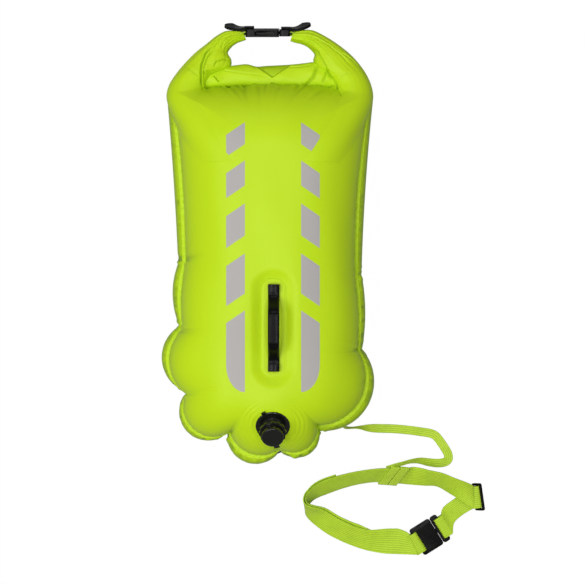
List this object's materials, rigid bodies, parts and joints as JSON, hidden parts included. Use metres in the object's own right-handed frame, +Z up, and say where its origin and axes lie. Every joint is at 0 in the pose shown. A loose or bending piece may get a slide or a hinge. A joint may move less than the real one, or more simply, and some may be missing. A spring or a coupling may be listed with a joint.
{
  "type": "open water swim buoy",
  "caption": "Inflatable swim buoy with a dry bag: crowned air chambers, rolled and buckled top, grab handle, inflation valves, and a leash to an adjustable waist belt. Buckles and valves open.",
  "frame": {"origin": "on the floor under the middle of the buoy, which lies on its back with its valve side up", "axes": "+X across the bag to the side of the leash, +Y along the bag from its foot to the roll-top, +Z up"},
  "size_m": [0.4291, 0.7086, 0.1977],
  "materials": {
    "lime_fabric": "coated, satin",
    "lime_webbing": "woven, matt",
    "inner_fabric": "coated, matt",
    "black_plastic": "moulded, satin",
    "black_rubber": "moulded, satin",
    "valve_black": "moulded, glossy",
    "clear_silicone": "smooth, satin"
  },
  "bodies": {
    "buoy": {"belt_buckle_female": "black_plastic", "belt_far_strap": "lime_webbing", "belt_female_loop": "lime_webbing", "belt_near_strap": "lime_webbing", "closure_stiffener": "black_plastic", "dry_compartment": "inner_fabric", "front_chamber": "lime_fabric", "front_valve_diaphragm": "clear_silicone", "front_valve_flange": "valve_black", "front_valve_housing": "valve_black", "front_valve_mouthpiece": "valve_black", "front_valve_seal": "black_rubber", "grab_handle": "black_rubber", "handle_patch": "lime_fabric", "handle_plate_lower": "black_rubber", "handle_plate_upper": "black_rubber", "leash_anchor": "lime_webbing", "leash_belt_loop": "lime_webbing", "leash_tape": "lime_webbing", "left_gather": "lime_fabric", "left_pull_tab": "black_rubber", "left_stub": "lime_webbing", "perimeter_weld": "lime_fabric", "rear_chamber": "lime_fabric", "rear_valve_diaphragm": "clear_silicone", "rear_valve_flange": "valve_black", "rear_valve_housing": "valve_black", "rear_valve_mouthpiece": "valve_black", "rear_valve_seal": "black_rubber", "roll_closure": "lime_fabric", "top_buckle_female": "black_plastic"},
    "top_male": {"top_buckle_male": "black_plastic", "right_stub": "lime_webbing", "right_pull_tab": "black_rubber", "right_gather": "lime_fabric"},
    "top_catch_left": {"top_prong_left": "black_plastic"},
    "top_catch_right": {"top_prong_right": "black_plastic"},
    "belt_male": {"belt_buckle_male": "black_plastic", "belt_male_loop": "lime_webbing", "belt_adjust_strap": "lime_webbing", "belt_adjust_return": "lime_webbing", "belt_triglide": "black_plastic", "belt_slider_loop": "lime_webbing", "belt_upper_strap": "lime_webbing"},
    "belt_catch_left": {"belt_prong_left": "black_plastic"},
    "belt_catch_right": {"belt_prong_right": "black_plastic"},
    "front_lock": {"front_valve_lock_ring": "valve_black"},
    "front_lid": {"front_valve_cap": "valve_black"},
    "rear_lock": {"rear_valve_lock_ring": "valve_black"},
    "rear_lid": {"rear_valve_cap": "valve_black"}
  },
  "joints": [
    {"name": "top_buckle_draw", "type": "slide", "parent": "buoy", "child": "top_male", "axis": [1, 0, 0], "range_m": [0, 0.03], "deforming": ["top_prong_left", "top_prong_right"]},
    {"name": "top_left_catch", "type": "hinge", "parent": "top_male", "child": "top_catch_left", "pos_m": [0.0146, 0.26982, 0.11689], "axis": [0, -0.9848, -0.1736], "range_deg": [0, 10], "stiffness_Nm_per_rad": 0.2},
    {"name": "top_right_catch", "type": "hinge", "parent": "top_male", "child": "top_catch_right", "pos_m": [0.0146, 0.27454, 0.09011], "axis": [0, 0.9848, 0.1736], "range_deg": [0, 10], "stiffness_Nm_per_rad": 0.2},
    {"name": "belt_buckle_draw", "type": "slide", "parent": "buoy", "child": "belt_male", "axis": [0.848, 0.5299, 0], "range_m": [0, 0.022], "deforming": ["belt_prong_left", "belt_prong_right", "leash_tape"]},
    {"name": "belt_left_catch", "type": "hinge", "parent": "belt_male", "child": "belt_catch_left", "pos_m": [0.21777, -0.37441, 0.01082], "axis": [0.0829, -0.1327, 0.9877], "range_deg": [0, 10], "stiffness_Nm_per_rad": 0.2},
    {"name": "belt_right_catch", "type": "hinge", "parent": "belt_male", "child": "belt_catch_right", "pos_m": [0.23463, -0.40139, 0.00579], "axis": [-0.0829, 0.1327, -0.9877], "range_deg": [0, 10], "stiffness_Nm_per_rad": 0.2},
    {"name": "front_lock_turn", "type": "hinge", "parent": "buoy", "child": "front_lock", "pos_m": [0.007, -0.23589, 0.16184], "axis": [0, -0.5381, 0.8429], "range_deg": [0, 40]},
    {"name": "front_cap_flip", "type": "hinge", "parent": "front_lock", "child": "front_lid", "pos_m": [0.00265, -0.23216, 0.18617], "axis": [-0.9659, -0.2181, -0.1393], "range_deg": [0, 160]},
    {"name": "rear_lock_turn", "type": "hinge", "parent": "buoy", "child": "rear_lock", "pos_m": [0.007, -0.261, 0.029], "axis": [0, 0, -1], "range_deg": [0, 40]},
    {"name": "rear_cap_flip", "type": "hinge", "parent": "rear_lock", "child": "rear_lid", "pos_m": [0.007, -0.2778, 0.0105], "axis": [-1, 0, 0], "range_deg": [0, 160]}
  ]
}
